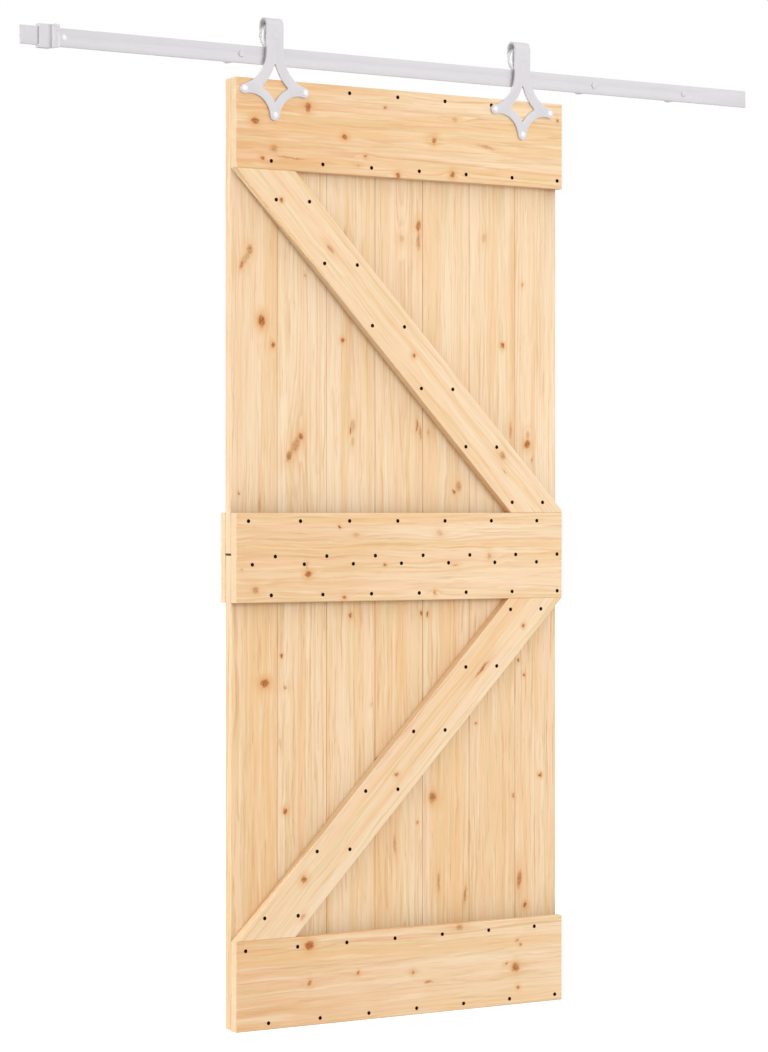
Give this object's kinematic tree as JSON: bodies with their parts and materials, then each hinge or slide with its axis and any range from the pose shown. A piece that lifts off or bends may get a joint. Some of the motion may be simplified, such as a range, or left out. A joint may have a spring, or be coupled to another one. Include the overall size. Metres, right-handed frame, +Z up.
{
  "type": "sliding barn door",
  "caption": "Sliding plank barn door with slanted braces, hung by star-shaped strap hangers whose grooved wheels roll along a flat wall track with an end stop.",
  "frame": {"origin": "where the axis of the second wall bolt from the left meets the wall, at the track's middle height", "axes": "+X along the track to the right, +Y into the wall, +Z up"},
  "size_m": [2, 0.1243, 2.237],
  "materials": {
    "pine": "satin",
    "white_steel": "satin",
    "zinc_steel": "satin",
    "white_nylon": "satin",
    "bronze": "satin",
    "grey_rubber": "matte",
    "dark_screw": "satin"
  },
  "bodies": {
    "fixed_track": {"track": "white_steel", "spacer_1": "white_steel", "spacer_2": "white_steel", "spacer_3": "white_steel", "spacer_4": "white_steel", "wall_bolt_1": "zinc_steel", "wall_bolt_2": "zinc_steel", "wall_bolt_3": "zinc_steel", "wall_bolt_4": "zinc_steel", "end_stop": "white_steel", "stop_screw": "zinc_steel", "stop_bumper": "grey_rubber"},
    "door_leaf": {"upper_board_1": "pine", "upper_board_2": "pine", "upper_board_3": "pine", "upper_board_4": "pine", "upper_board_5": "pine", "upper_board_6": "pine", "upper_board_7": "pine", "lower_board_1": "pine", "lower_board_2": "pine", "lower_board_3": "pine", "lower_board_4": "pine", "lower_board_5": "pine", "lower_board_6": "pine", "lower_board_7": "pine", "top_rail": "pine", "middle_rail_front": "pine", "middle_rail_back": "pine", "bottom_rail": "pine", "upper_brace": "pine", "lower_brace": "pine", "top_rail_screws": "dark_screw", "upper_brace_screws": "dark_screw", "middle_rail_screws": "dark_screw", "lower_brace_screws": "dark_screw", "bottom_rail_screws": "dark_screw", "hanger_left": "white_steel", "hanger_bolts_left": "white_steel", "hanger_nuts_left": "zinc_steel", "axle_left": "white_steel", "axle_nut_left": "zinc_steel", "hanger_right": "white_steel", "hanger_bolts_right": "white_steel", "hanger_nuts_right": "zinc_steel", "axle_right": "white_steel", "axle_nut_right": "zinc_steel"},
    "left_wheel": {"wheel_left": "white_nylon", "wheel_bush_left": "bronze"},
    "right_wheel": {"wheel_right": "white_nylon", "wheel_bush_right": "bronze"}
  },
  "joints": [
    {"name": "door_slide", "type": "slide", "parent": "fixed_track", "child": "door_leaf", "axis": [1, 0, 0], "range_m": [-0.5145, 0.655]},
    {"name": "left_wheel_spin", "type": "hinge", "parent": "door_leaf", "child": "left_wheel", "pos_m": [0.0806, -0.061, 0.0443], "axis": [0, 1, 0], "continuous": true},
    {"name": "right_wheel_spin", "type": "hinge", "parent": "door_leaf", "child": "right_wheel", "pos_m": [0.7631, -0.061, 0.0443], "axis": [0, 1, 0], "continuous": true}
  ],
  "couplings": [
    {"joint": "left_wheel_spin", "follows": "door_slide", "rad_per_m": 41.667},
    {"joint": "right_wheel_spin", "follows": "door_slide", "rad_per_m": 41.667}
  ]
}
